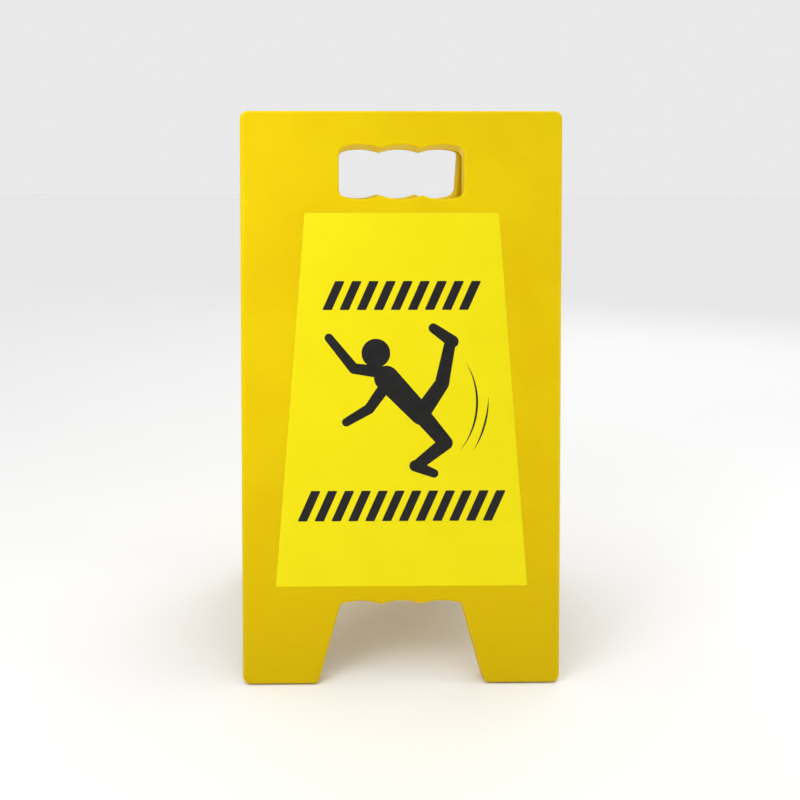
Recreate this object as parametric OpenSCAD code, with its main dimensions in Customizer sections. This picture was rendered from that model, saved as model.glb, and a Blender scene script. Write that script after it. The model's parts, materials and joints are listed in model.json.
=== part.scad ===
// Folding A-frame floor sign: two ribbed plastic leaves hinged at the top, standing open.
// The origin is on the floor under the middle of the stand, X is the width, Z is up.
// Each leaf is drawn in its own frame: the hinge axis is X, the leaf hangs towards -Z
// and its outer face looks towards -Y.

/* [Leaf] */
// Width of each leaf
panel_w = 336; // [310:2:380]
// Length of each leaf from top edge to foot
panel_h = 600; // [580:5:660]
// Depth of the moulding from outer face to inner rim
panel_depth = 20; // [18:1:24]
// Thickness of the skin and of every rim
wall = 2.5; // [2:0.1:3]
// Radius of the two top corners
top_corner_r = 8; // [4:1:14]
// Radius of the two outer foot corners
foot_corner_r = 9; // [4:1:16]
// Radius of the two inner foot corners
foot_inner_r = 6.5; // [3:0.5:8]
// Height of the stiffening ribs above the skin
rib_h = 6; // [4:0.5:6.5]

/* [Handle] */
// Width of the hand hole
handle_w = 130.6; // [120:0.2:150]
// Height of the hand hole at the crests of its scallops
handle_h = 56.5; // [50:0.5:64]
// Distance from the top edge down to the hand hole
handle_drop = 35; // [30:0.5:40]
// Corner radius of the hand hole
handle_r = 9; // [6:0.5:14]
// Depth of the scallops along the top of the hand hole
handle_top_scallop = 3.6; // [2:0.2:5]
// Depth of the scallops along the bottom of the hand hole
handle_bottom_scallop = 4.6; // [2:0.2:6]
// Spacing of the finger scallops
scallop_pitch = 43; // [40:0.5:46]

/* [Foot gap] */
// Distance from the top edge down to the crest of the foot gap
gap_drop = 512; // [500:1:520]
// Width of the foot gap at its top corners
gap_top_w = 128.6; // [124:0.2:140]
// Width of the foot gap at the floor
gap_bottom_w = 176.4; // [160:0.2:190]
// Depth of the scallops along the top of the foot gap
gap_scallop = 3.4; // [2:0.2:5]
// Radius of the top corners of the foot gap
gap_corner_r = 5; // [3:0.5:8]

/* [Label] */
// Distance from the top edge down to the label
label_drop = 105; // [100:0.5:110]
// Height of the label
label_h = 391; // [340:0.5:395]
// Width of the label along its top edge
label_top_w = 202.6; // [170:0.2:230]
// Width of the label along its bottom edge
label_bottom_w = 265.4; // [220:0.2:280]
// Thickness of the label film
label_t = 0.4; // [0.2:0.1:0.5]
// Depth of the recess that the label lies in
recess = 0.6; // [0.5:0.1:0.8]

/* [Hinge] */
// Angle between the two leaves when the sign stands open
open_angle = 25; // [20:1:28]
// Depth of the hinge axis below the top edge
hinge_drop = 10; // [9.5:0.5:12]
// Outer radius of the hinge knuckles
knuckle_r = 6; // [5:0.25:6.25]
// Length of each hinge knuckle
knuckle_l = 12; // [10:0.5:13]
// Gap between neighbouring knuckles
knuckle_gap = 0.5; // [0.3:0.1:0.8]
// Distance from the middle to the innermost knuckle
hinge_x = 116; // [112:1:118]
// Diameter of the hinge pins
pin_d = 5; // [4:0.5:6]

/* [Stays] */
// Distance from the hinge axis down to the stay pivot on the rear leaf
pivot_drop = 150; // [140:1:160]
// Distance between the two pins of a stay
stay_l = 200; // [190:1:210]
// Width of the stay strip
stay_w = 14; // [12:1:14]
// Thickness of the stay strip
stay_t = 2.2; // [1.6:0.1:2.2]
// Diameter of the stay pivot rivet
rivet_d = 6; // [5:0.5:6.5]
// Diameter of the slider pin
slider_d = 5; // [4:0.5:5]
// Width of the slot that the slider pin runs in
slot_w = 6; // [5.9:0.1:6.4]

/* [Feet] */
// Length of each foot pad
pad_l = 50; // [40:1:54]
// Width of each foot pad
pad_w = 13; // [10:0.5:14]
// Thickness of each foot pad
pad_t = 2.2; // [1.8:0.1:2.4]
// How far the pad stands proud of the foot
pad_proud = 1; // [0.6:0.1:1.2]

/* [Hidden] */
$fn = 96;

// Open stance
lean = open_angle / 2;
leaf_clear = 0.09;
inner_y = -hinge_drop * tan(lean) - leaf_clear;
outer_y = inner_y - panel_depth;
skin_y = outer_y + wall;
leaf_top = hinge_drop;
leaf_foot = hinge_drop - panel_h;
hinge_z = pad_proud - leaf_foot * cos(lean) + outer_y * sin(lean);
foot_outer_y = outer_y * cos(lean) + leaf_foot * sin(lean);
foot_mid_y = foot_outer_y + panel_depth / cos(lean) / 2;

// Fits, small features, the overrun of a cut and the angle between the points of an arc
arc_step = 6;
over = 1;
run_clear = 0.05;
snug_clear = 0.03;
label_play = 0.3;
rib_t = 2;
rib_pitch_x = 55;
rib_pitch_z = 98;
rib_rows = 5;
side_in = panel_w / 2 - wall;

// Foot gap: its crest, its top corners and the slope of its sides
gap_crest_z = leaf_top - gap_drop;
gap_corner_z = gap_crest_z - gap_scallop;
gap_tilt = atan((gap_bottom_w - gap_top_w) / 2 / (gap_corner_z - leaf_foot));

// Hinge, measured outwards from the middle of the sign
knuckle_step = knuckle_l + knuckle_gap;
hinge_end = hinge_x + 2 * knuckle_step + knuckle_l;
pin_head_t = 2;
pin_head_r = 4.5;
retainer_t = 1.5;
retainer_r = 5;
pin_tail = 1.5;

// Stays, measured outwards from the middle of the sign
stay_inset = 14.7;
stay_x = side_in - stay_inset;
track_t = 2.2;
track_gap = 0.8;
track_x = stay_x - track_gap - track_t;
washer_t = 0.8;
washer_r = 6;
rivet_play = 0.2;
lug_x = stay_x + stay_t + rivet_play + washer_t;
lug_t = 4.5;
lug_r = 6.5;
rivet_head_t = 2;
rivet_head_r = 5.5;
slider_head_r = 4.8;
slider_head_t = 1.6;
slider_play = 0.4;

// Slider travel along the front leaf, from open to folded
open_reach = asin(pivot_drop * sin(open_angle) / stay_l);
travel_open = pivot_drop * cos(open_angle) + stay_l * cos(open_reach);
travel_shut = pivot_drop + stay_l;
slot_play = (slot_w - slider_d) / 2;
slot_open = travel_open + slot_play - run_clear;

// Track bracket and its screws
flange_t = 2;
boss_r = 5;
boss_h = 7;
flange_y = skin_y + boss_h;
flange_w = 20;
track_margin = 16;
track_lip = 6;
screw_inset = 7;
screw_offset = 10;
screw_x = track_x - screw_offset;
screw_r = 1.75;
screw_head_r = 3.6;
screw_head_t = 2.2;
screw_l = 7;
drive_l = 4;
drive_w = 0.8;
drive_depth = 1;
track_top = -(travel_open - track_margin);
track_foot = -(travel_shut + track_margin);

// Foot pads, set a little inwards from the middle of the foot
pad_offset = 2;
pad_x = (gap_bottom_w / 2 + panel_w / 2) / 2 - pad_offset;
pad_r = 3;

// Frames of the two leaves
module front_leaf() translate([0, 0, hinge_z]) rotate([-lean, 0, 0]) children();
module rear_leaf() translate([0, 0, hinge_z]) rotate([lean, 0, 0]) mirror([0, 1, 0]) children();

// The standing frame, seen from the front leaf's own frame
module from_floor() rotate([lean, 0, 0]) translate([0, 0, -hinge_z]) children();

// One copy for the right side (1) or the left side (-1)
module on_side(side) mirror([side > 0 ? 0 : 1, 0, 0]) children();
module both_sides() for (side = [-1, 1]) on_side(side) children();

// An outline in X and Z, extruded between two depths
module slab(y_from, y_to)
    translate([0, y_to, 0]) rotate([90, 0, 0]) linear_extrude(y_to - y_from) children();

// An outline in Y and Z, extruded between two widths
module plate(x_from, x_to)
    translate([x_from, 0, 0]) rotate([90, 0, 90]) linear_extrude(x_to - x_from) children();

// A round bar along X
module rod(r, x_from, x_to)
    translate([x_from, 0, 0]) rotate([0, 90, 0]) cylinder(r = r, h = x_to - x_from);

// A plate with its own radii at the bottom and the top
module round_plate(w, low, high, r_low, r_high) {
    translate([-w / 2, low + r_low]) square([w, high - low - r_low - r_high]);
    translate([-w / 2 + r_low, low]) square([w - 2 * r_low, r_low + over]);
    translate([-w / 2 + r_high, high - r_high - over]) square([w - 2 * r_high, r_high + over]);
    for (side = [-1, 1]) {
        translate([side * (w / 2 - r_low), low + r_low]) circle(r_low);
        translate([side * (w / 2 - r_high), high - r_high]) circle(r_high);
    }
}

// Points along an arc, the last of which is left off when close is 0
function arc(centre, r, from, to, close = 1) =
    let (n = ceil(abs(to - from) / arc_step))
    [for (k = [0:n - 1 + close])
        let (a = from + (to - from) * k / n) centre + r * [cos(a), sin(a)]];

// An outline's points mirrored left to right, in reverse order
function mirrored(points) = [for (k = [len(points) - 1:-1:0]) [-points[k].x, points[k].y]];

// Radius of a scallop of the given depth
function scallop_r(depth) = (pow(scallop_pitch / 2, 2) + depth * depth) / (2 * depth);

// Centre of a fillet of radius r between the outer scallop, with its centre at hub, and a
// side through point p that leans outwards by tilt on its way down
function fillet_centre(p, tilt, hub, big_r, r) =
    let (
        down = [sin(tilt), -cos(tilt)],
        start = p - r * [cos(tilt), sin(tilt)] - hub,
        along = start * down,
        room = along * along - start * start + pow(big_r - r, 2)
    )
    hub + start - down * (along + sqrt(room));

// The scalloped top of an opening, from its right side over three scallops to its left side
function scalloped_top(p, tilt, crest, depth, r, grow) =
    let (
        big_r = scallop_r(depth),
        hub = [scallop_pitch, crest - big_r],
        centre = fillet_centre(p, tilt, hub, big_r, r),
        tangent = atan2(centre.y - hub.y, centre.x - hub.x),
        cusp = acos(scallop_pitch / 2 / (big_r + grow)),
        right = concat(
            arc(centre, r + grow, tilt, tangent, 0),
            arc(hub, big_r + grow, tangent, 180 - cusp, 0)
        ),
        middle = arc([0, hub.y], big_r + grow, cusp, 180 - cusp)
    )
    concat(right, middle, mirrored(right));

// The hand hole, grown by the rim's thickness where the cavity stops
module handle_outline(grow) {
    side = [handle_w / 2, 0];
    crest = handle_h / 2;
    top = scalloped_top(side, 0, crest, handle_top_scallop, handle_r, grow);
    bottom = scalloped_top(side, 0, crest, handle_bottom_scallop, handle_r, grow);
    translate([0, leaf_top - handle_drop - crest])
        polygon(concat(top, -bottom));
}

// The foot gap, grown by the rim's thickness where the cavity stops
module gap_outline(grow) {
    drop = 20;
    foot_x = gap_bottom_w / 2 + grow / cos(gap_tilt) + drop * tan(gap_tilt);
    side = [gap_top_w / 2, gap_corner_z];
    polygon(concat(
        scalloped_top(side, gap_tilt, gap_crest_z, gap_scallop, gap_corner_r, grow),
        [[-foot_x, leaf_foot - drop], [foot_x, leaf_foot - drop]]
    ));
}

// The sliver that rounds each inner foot corner
module foot_corner() {
    reach = foot_inner_r / tan(45 + gap_tilt / 2);
    x = gap_bottom_w / 2;
    centre = [x + reach, leaf_foot + foot_inner_r];
    difference() {
        polygon([
            [x - 2 * over, leaf_foot - over], [x + reach, leaf_foot - over], centre,
            [x - reach * sin(gap_tilt), leaf_foot + reach * cos(gap_tilt)]
        ]);
        translate(centre) circle(foot_inner_r);
    }
}

// The leaf seen from the front, drawn in by the rim's thickness for the cavity
module leaf_outline(inset)
    difference() {
        round_plate(
            panel_w - 2 * inset, leaf_foot + inset, leaf_top - inset,
            foot_corner_r - inset, top_corner_r - inset
        );
        handle_outline(inset);
        gap_outline(inset);
        if (inset == 0) for (side = [-1, 1]) mirror([side > 0 ? 0 : 1, 0]) foot_corner();
    }

// Everything below a level above the floor
module below(level)
    from_floor() translate([-panel_w, -2 * panel_h, level - panel_h])
        cube([2 * panel_w, 4 * panel_h, panel_h]);

// The open back of the leaf
module cavity()
    difference() {
        slab(skin_y, over) leaf_outline(wall);
        below(pad_proud + wall);
    }

// Stiffening ribs on the back of the skin
module ribs()
    intersection() {
        slab(skin_y - wall / 2, skin_y + rib_h) leaf_outline(wall / 2);
        union() {
            for (k = [1:rib_rows])
                translate([-panel_w / 2, outer_y, -k * rib_pitch_z - rib_t / 2])
                    cube([panel_w, panel_depth, rib_t]);
            for (k = [-2:2])
                translate([k * rib_pitch_x - rib_t / 2, outer_y, -rib_rows * rib_pitch_z])
                    cube([rib_t, panel_depth, (rib_rows - 1) * rib_pitch_z]);
        }
    }

// The label's outline, with its edge drawn in
module label_outline(inset) {
    high = leaf_top - label_drop;
    low = high - label_h;
    polygon([
        [-label_bottom_w / 2 + inset, low + inset], [label_bottom_w / 2 - inset, low + inset],
        [label_top_w / 2 - inset, high - inset], [-label_top_w / 2 + inset, high - inset]
    ]);
}

// A foot pad, or its pocket when grown, in the standing frame
module pad(side, grow)
    translate([side * pad_x, foot_mid_y, 0]) linear_extrude(pad_t + grow) {
        square([pad_l + 2 * grow, pad_w - 2 * pad_r], center = true);
        square([pad_l - 2 * pad_r, pad_w + 2 * grow], center = true);
        for (x = [-1, 1], y = [-1, 1])
            translate([x * (pad_l / 2 - pad_r), y * (pad_w / 2 - pad_r)]) circle(pad_r + grow);
    }

// The bare moulding that both leaves share
module leaf_shell()
    difference() {
        union() {
            difference() {
                slab(outer_y, inner_y) leaf_outline(0);
                cavity();
            }
            ribs();
        }
        below(pad_proud);
        slab(outer_y - over, outer_y + recess) label_outline(0);
        for (side = [-1, 1]) from_floor() pad(side, snug_clear);
    }

// A knuckle and the block that joins it to the skin
module knuckle(x)
    plate(x, x + knuckle_l) {
        circle(knuckle_r);
        translate([skin_y - wall / 2, -knuckle_r]) square([-skin_y + wall / 2, 2 * knuckle_r]);
    }

// The lug on the rear leaf that carries a stay
module lug()
    plate(lug_x, lug_x + lug_t) translate([0, -pivot_drop]) {
        circle(lug_r);
        translate([skin_y - wall / 2, -lug_r]) square([-skin_y + wall / 2, 2 * lug_r]);
    }

// A screw boss under the track, and the height of each screw
function screw_z(k) = k == 0 ? track_top - screw_inset : track_foot + screw_inset;
module on_screws()
    for (k = [0:1]) translate([screw_x, flange_y, screw_z(k)]) rotate([90, 0, 0]) children();

module front_panel()
    color("gold") front_leaf() difference() {
        union() {
            leaf_shell();
            both_sides() {
                knuckle(hinge_x);
                knuckle(hinge_x + 2 * knuckle_step);
                on_screws() cylinder(r = boss_r, h = boss_h + wall / 2);
            }
        }
        both_sides() {
            rod(pin_d / 2 + run_clear, hinge_x - over, hinge_end + over);
            on_screws() translate([0, 0, -over])
                cylinder(r = screw_r + snug_clear, h = screw_l + over);
        }
    }

module rear_panel()
    color("gold") rear_leaf() difference() {
        union() {
            leaf_shell();
            both_sides() {
                knuckle(hinge_x + knuckle_step);
                lug();
            }
        }
        both_sides() {
            rod(pin_d / 2 + run_clear, hinge_x, hinge_end);
            translate([0, 0, -pivot_drop])
                rod(rivet_d / 2 + snug_clear, lug_x - over, lug_x + lug_t + over);
        }
    }

module label()
    color("yellow") slab(outer_y + recess - label_t, outer_y + recess) label_outline(label_play);
module front_label() front_leaf() label();
module rear_label() rear_leaf() label();

// Headed pin with its head towards the middle
module hinge_pin(side)
    color("silver") front_leaf() on_side(side) {
        rod(pin_d / 2, hinge_x - pin_head_t / 2, hinge_end + retainer_t + pin_tail);
        rod(pin_head_r, hinge_x - pin_head_t, hinge_x);
    }

// Push-on ring that keeps the pin in
module hinge_retainer(side)
    color("dimgray") front_leaf() on_side(side) difference() {
        rod(retainer_r, hinge_end, hinge_end + retainer_t);
        rod(pin_d / 2 + snug_clear, hinge_end - over, hinge_end + retainer_t + over);
    }

// Puts a piece drawn along the rear leaf's pivot line at the stay's pivot
module at_pivot() rear_leaf() translate([0, 0, -pivot_drop]) children();

// The stay's own frame: its pivot at the origin, the strip hanging towards -Z
module stay_frame() at_pivot() rotate([open_angle + open_reach, 0, 0]) children();

module stay(side)
    color("silver") stay_frame() on_side(side) difference() {
        plate(stay_x, stay_x + stay_t) {
            translate([-stay_w / 2, -stay_l]) square([stay_w, stay_l]);
            for (z = [0, -stay_l]) translate([0, z]) circle(stay_w / 2);
        }
        rod(rivet_d / 2 + run_clear, stay_x - over, stay_x + stay_t + over);
        translate([0, 0, -stay_l])
            rod(slider_d / 2 + snug_clear, stay_x - over, stay_x + stay_t + over);
    }

// Rivet set through the lug, with the stay turning on its shank
module stay_rivet(side) {
    inner = stay_x - rivet_play;
    outer = lug_x + lug_t;
    color("gray") at_pivot() on_side(side) {
        rod(rivet_d / 2, inner - rivet_head_t / 2, outer + rivet_head_t / 2);
        rod(rivet_head_r, inner - rivet_head_t, inner);
        rod(rivet_head_r, outer, outer + rivet_head_t);
    }
}

module stay_washer(side)
    color("white") at_pivot() on_side(side) difference() {
        rod(washer_r, lug_x - washer_t, lug_x);
        rod(rivet_d / 2 + run_clear, lug_x - washer_t - over, lug_x + over);
    }

// Shouldered pin set in the stay, running in the slot of the track
module slider_pin(side) {
    inner = track_x - slider_play;
    outer = stay_x + stay_t;
    color("gray") stay_frame() on_side(side) translate([0, 0, -stay_l]) {
        rod(slider_d / 2, inner - slider_head_t / 2, outer + slider_head_t / 2);
        rod(slider_head_r, inner - slider_head_t, inner);
        rod(slider_head_r, outer, outer + slider_head_t);
    }
}

// Angle bracket with the slot: its flange sits on the bosses, its web stands off the leaf
module stay_track(side)
    color("silver") front_leaf() on_side(side) difference() {
        union() {
            translate([track_x + track_t - flange_w, flange_y, track_foot])
                cube([flange_w, flange_t, track_top - track_foot]);
            translate([track_x, flange_y, track_foot])
                cube([track_t, track_lip - flange_y, track_top - track_foot]);
        }
        plate(track_x - over, track_x + track_t + over) {
            translate([-slot_w / 2, -travel_shut]) square([slot_w, travel_shut - slot_open]);
            for (z = [-travel_shut, -slot_open]) translate([0, z]) circle(slot_w / 2);
        }
        on_screws() translate([0, 0, -flange_t - over])
            cylinder(r = screw_r + snug_clear, h = flange_t + 2 * over);
    }

// Two screws; each shank starts inside its head and stops short of the bottom of its hole
module track_screws(side)
    color("gray") front_leaf() on_side(side) on_screws() {
        translate([0, 0, -flange_t - over]) cylinder(r = screw_r, h = screw_l + flange_t);
        translate([0, 0, -flange_t - screw_head_t]) difference() {
            cylinder(r = screw_head_r, h = screw_head_t);
            for (a = [0, 90])
                rotate([0, 0, a]) cube([drive_l, drive_w, 2 * drive_depth], center = true);
        }
    }

module foot_pad_front(side) color("dimgray") pad(side, 0);
module foot_pad_rear(side) color("dimgray") mirror([0, 1, 0]) pad(side, 0);

front_panel();
rear_panel();
front_label();
rear_label();
hinge_pin(-1);  // hinge_pin_left
hinge_pin(1);  // hinge_pin_right
hinge_retainer(-1);  // hinge_retainer_left
hinge_retainer(1);  // hinge_retainer_right
stay(-1);  // stay_left
stay(1);  // stay_right
stay_rivet(-1);  // stay_rivet_left
stay_rivet(1);  // stay_rivet_right
stay_washer(-1);  // stay_washer_left
stay_washer(1);  // stay_washer_right
slider_pin(-1);  // slider_pin_left
slider_pin(1);  // slider_pin_right
stay_track(-1);  // stay_track_left
stay_track(1);  // stay_track_right
track_screws(-1);  // track_screws_left
track_screws(1);  // track_screws_right
foot_pad_front(-1);  // foot_pad_front_left
foot_pad_front(1);  // foot_pad_front_right
foot_pad_rear(-1);  // foot_pad_rear_left
foot_pad_rear(1);  // foot_pad_rear_right
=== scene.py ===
import json
import math

import bmesh
import bpy
from mathutils import Matrix, Vector


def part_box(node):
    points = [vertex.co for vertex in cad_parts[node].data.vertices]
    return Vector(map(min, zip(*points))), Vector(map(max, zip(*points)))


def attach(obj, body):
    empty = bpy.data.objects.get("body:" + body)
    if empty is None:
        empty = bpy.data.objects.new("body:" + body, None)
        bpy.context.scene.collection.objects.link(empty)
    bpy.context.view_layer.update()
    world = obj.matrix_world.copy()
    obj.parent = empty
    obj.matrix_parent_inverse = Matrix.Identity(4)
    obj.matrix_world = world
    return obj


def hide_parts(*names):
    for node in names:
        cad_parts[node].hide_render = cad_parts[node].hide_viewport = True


# A folding wet floor sign: two ribbed plastic leaves, hinged at the top and standing open.
# Lengths are in millimetres in a leaf's own frame and become metres when a piece is made.
# That frame has its origin on the hinge axis: X is the width, Z runs up the leaf and the
# outer face looks towards -Y. The rear leaf is the front one mirrored across the hinge.

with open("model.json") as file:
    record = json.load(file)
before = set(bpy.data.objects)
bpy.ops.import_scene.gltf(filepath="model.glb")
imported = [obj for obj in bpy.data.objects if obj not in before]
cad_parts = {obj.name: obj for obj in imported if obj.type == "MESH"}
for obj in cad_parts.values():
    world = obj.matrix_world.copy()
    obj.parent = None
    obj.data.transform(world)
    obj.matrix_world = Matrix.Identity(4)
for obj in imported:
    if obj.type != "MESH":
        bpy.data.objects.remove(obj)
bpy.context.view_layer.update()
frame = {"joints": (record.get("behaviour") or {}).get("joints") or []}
joints = {joint["name"]: joint for joint in frame["joints"]}
M_PER_MM = 0.001
MM_PER_M = 1000

# Leaf
LEAN = math.radians(joints["fold"]["range_deg"][1] / 2)
HINGE_HEIGHT = joints["fold"]["pos_m"][2] * MM_PER_M
PANEL_W = (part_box("front_panel")[1].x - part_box("front_panel")[0].x) * MM_PER_M
PANEL_H = 600
PANEL_DEPTH = 20
WALL = 2.5
LEAF_TOP = 10
OVERRUN = 1
LEAF_FOOT = LEAF_TOP - PANEL_H
LEAF_CLEAR = 0.09
INNER_Y = -LEAF_TOP * math.tan(LEAN) - LEAF_CLEAR
OUTER_Y = INNER_Y - PANEL_DEPTH
SKIN_Y = OUTER_Y + WALL
FOOT_LEVEL = 1
TOP_CORNER_R = 8
FOOT_CORNER_R = 9
FOOT_INNER_R = 6.5

# Openings
SCALLOP_PITCH = 43
CUSP_R = 4
HANDLE_W = 130.6
HANDLE_H = 56.5
HANDLE_Z = LEAF_TOP - 35 - HANDLE_H / 2
HANDLE_R = 9
HANDLE_TOP_SCALLOP = 3.6
HANDLE_BOTTOM_SCALLOP = 4.6
GAP_CREST_Z = LEAF_TOP - 512
GAP_TOP_W = 128.6
GAP_BOTTOM_W = 176.4
GAP_SCALLOP = 3.4
GAP_R = 5
GAP_TILT = math.atan((GAP_BOTTOM_W - GAP_TOP_W) / 2 / (GAP_CREST_Z - GAP_SCALLOP - LEAF_FOOT))

# Rounded edges of the moulding
LIP_R = 3.4
SIDE_LIP_R = 5.5
HOLE_LIP_R = 1.8
EDGE_R = 0.5
CAVITY_FILLET = 1.2
SHARP_ANGLE = math.radians(38)

# Ribs
RIB_H = 6
RIB_T = 2
RIB_TOP_T = 1.5
RIB_EDGE = 0.3
RIB_PITCH_X = 55
RIB_PITCH_Z = 98
RIB_ROWS = 5
ROOT_SINK = 0.5

# Label and print
LABEL_TOP_Z = LEAF_TOP - 105
LABEL_FOOT_Z = LABEL_TOP_Z - 391
LABEL_TOP_W = 202.6
LABEL_FOOT_W = 265.4
LABEL_CORNER_R = 1.5
LABEL_T = 0.4
RECESS = 0.6
# Rounded edge of the recess: how far outside it, how deep
RECESS_EDGE = ((0.2, 0), (0.06, 0.06), (0, 0.2))
LABEL_GAP = 0.1
LABEL_EDGE_R = 0.12
LABEL_Y = OUTER_Y + RECESS - LABEL_T
INK_T = 0.08
# Rows of bars: half width, top and foot below the leaf's top edge, number of bars
BAR_ROWS = ((80, 176, 206, 9), (106, 395, 427, 12))
BAR_FILL = 0.56
BAR_SLANT = 0.45
BAR_CORNER_R = 0.8
# Motion arcs: radius, start, end and greatest thickness, about one centre
ARC_CENTRE = (4, LABEL_TOP_Z - 198)
MOTION_ARCS = ((76, -0.72, 0.6, 2.2), (87, -0.62, 0.08, 2.0))

# Figure: where its joints lie from its origin, and each limb's ends with their radii
FIGURE_Z = LABEL_TOP_Z - 142
HEAD = (-27, -4)
HEAD_R = 15
FIGURE_JOINTS = {
    "neck": (-16, -30), "waist": (20, -68),
    "high_shoulder": (-20, -24), "high_elbow": (-50, -20), "high_hand": (-76, 12),
    "low_shoulder": (-14, -34), "low_elbow": (-34, -62), "low_hand": (-58, -76),
    "kick_knee": (42, -36), "kick_ankle": (50, 4), "kick_heel": (53, 8), "kick_toe": (33, 22),
    "hip": (22, -70), "knee": (46, -98), "ankle": (18, -120), "heel": (14, -122), "toe": (34, -130),
}
FIGURE_LIMBS = (
    ("neck", "waist", 13, 11),
    ("high_shoulder", "high_elbow", 6.5, 5.5),
    ("high_elbow", "high_hand", 5.5, 4.5),
    ("low_shoulder", "low_elbow", 6.5, 5.5),
    ("low_elbow", "low_hand", 5.5, 4.5),
    ("waist", "kick_knee", 9, 7.5),
    ("kick_knee", "kick_ankle", 7.5, 6),
    ("kick_heel", "kick_toe", 6.5, 5),
    ("hip", "knee", 9, 7.5),
    ("knee", "ankle", 7.5, 6),
    ("heel", "toe", 6, 4.5),
)

# Hinge
KNUCKLE_R = 6
KNUCKLE_L = 12
KNUCKLE_STEP = KNUCKLE_L + 0.5
HINGE_X = 116
HINGE_END = HINGE_X + 2 * KNUCKLE_STEP + KNUCKLE_L
PIN_R = 2.5
PIN_HEAD_R = 4.5
PIN_HEAD_T = 2
RETAINER_R = 5
RETAINER_T = 1.5
PIN_TAIL = 1.5
PIN_CHAMFER = 0.6
BORE_CLEAR = 0.05
HEAD_EDGE = 0.3
HEAD_RIM = 0.35
# Section of the push-on ring: distance from its inner face, radius
RETAINER_SECTION = (
    (0, PIN_R + 1.25), (0, RETAINER_R - 0.3), (0.3, RETAINER_R), (0.6, RETAINER_R),
    (0.9, RETAINER_R - 0.4), (RETAINER_T, PIN_R + 0.55), (RETAINER_T - 0.2, PIN_R + BORE_CLEAR),
    (0.7, PIN_R + BORE_CLEAR),
)

# Stays and their tracks
PIVOT_DROP = 150
STAY_L = 200
STAY_W = 14
STAY_T = 2.2
STAY_EDGE_R = 0.35
STAY_INSET = 14.7
STAY_X = PANEL_W / 2 - WALL - STAY_INSET
GROOVE_DROP = 20
GROOVE_L = STAY_L - 2 * GROOVE_DROP
GROOVE_FLATNESS = 0.25
GROOVE_END = ((0, 0), (3, 1.0), (7, 1.8))
TRACK_T = 2.2
TRACK_GAP = 0.8
TRACK_X = STAY_X - TRACK_GAP - TRACK_T
RIVET_R = 3
RIVET_HEAD_R = 5.5
RIVET_HEAD_T = 2
RIVET_PLAY = 0.2
WASHER_R = 6
WASHER_T = 0.8
WASHER_EDGE = 0.2
LUG_X = STAY_X + STAY_T + RIVET_PLAY + WASHER_T
LUG_T = 4.5
LUG_R = 6.5
SLIDER_R = 2.5
SLIDER_HEAD_R = 4.8
SLIDER_HEAD_T = 1.6
SLIDER_PLAY = 0.4
OPEN_ANGLE = 2 * LEAN
OPEN_REACH = math.asin(PIVOT_DROP * math.sin(OPEN_ANGLE) / STAY_L)
TRAVEL_OPEN = PIVOT_DROP * math.cos(OPEN_ANGLE) + STAY_L * math.cos(OPEN_REACH)
TRAVEL_SHUT = PIVOT_DROP + STAY_L
SLOT_R = 3
SLOT_TOP = -(TRAVEL_OPEN + SLOT_R - SLIDER_R - BORE_CLEAR)
TRACK_MARGIN = 16
TRACK_TOP = -(TRAVEL_OPEN - TRACK_MARGIN)
TRACK_FOOT = -(TRAVEL_SHUT + TRACK_MARGIN)
TRACK_LIP_Y = 6
TRACK_BEND_R = 2.6
TRACK_INNER_BEND = 0.4
TRACK_EDGE_R = 0.3
FLANGE_T = 2
FLANGE_W = 20
BOSS_R = 5
BOSS_H = 7
BOSS_EDGE_R = 0.3
FLANGE_Y = SKIN_Y + BOSS_H
SCREW_OFFSET = 10
SCREW_X = TRACK_X - SCREW_OFFSET
SCREW_R = 1.75
SCREW_L = 7
SCREW_TIP_GAP = 1
SCREW_CHAMFER = 0.6
SCREW_HEAD_R = 3.6
SCREW_HEAD_T = 2.2
SCREW_INSET = 7
SCREW_ROWS = (TRACK_TOP - SCREW_INSET, TRACK_FOOT + SCREW_INSET)
DRIVE_L = 4
DRIVE_W = 0.8
DRIVE_DEPTH = 1.2
DRIVE_CORNER_R = 0.2

# Foot pads, in the standing frame
FOOT_OUTER_Y = OUTER_Y * math.cos(LEAN) + LEAF_FOOT * math.sin(LEAN)
PAD_Y = FOOT_OUTER_Y + PANEL_DEPTH / math.cos(LEAN) / 2
PAD_OFFSET = 2
PAD_X = (GAP_BOTTOM_W / 2 + PANEL_W / 2) / 2 - PAD_OFFSET
PAD_L = 50
PAD_W = 13
PAD_T = 2.2
PAD_R = 3
POCKET_DEPTH = 2

# Height in metres below which the leaves' plastic is darkened towards the floor: painted shade
PAINTED_SHADE_BELOW = 0.26

# Camera and light, in metres and watts
CAMERA_AT = (-0.091, -0.950, 0.514)
CAMERA_PITCH = math.radians(14.3)
CAMERA_YAW = math.radians(-0.7)
CAMERA_LENS = 38.5
CAMERA_SHIFT = (0.094, 0.001)
FLOOR_RINGS = (1, 3, 10, 40)
SKY_AT_HORIZON = 0.15
SKY_RISE = 3
SKY_OVERHEAD = 2.05
BACKDROP = 0.82
# Lamps: name, place, target, size, power
LAMPS = (
    ("key", (-0.6, -0.6, 0.85), (-0.05, -0.03, 0.5), 0.5, 3.25),
    ("side", (1.25, -0.15, 0.5), (0.1, -0.05, 0.35), 0.5, 2.8),
    ("back", (1.2, 1.8, 1.6), (0.05, 0.06, 0.35), 1.2, 7),
)


# ---------------------------------------------------------------- outlines

def arc(centre, radius, start, end, steps):
    """Points along an arc, without the last one."""
    angles = [start + (end - start) * k / steps for k in range(steps)]
    return [Vector(centre) + radius * Vector((math.cos(a), math.sin(a))) for a in angles]


def circle(centre, radius, steps=40):
    return arc(centre, radius, 0, math.tau, steps)


def hole(loop):
    """The same outline walked the other way, so that the material lies outside it."""
    return loop[::-1]


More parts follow.
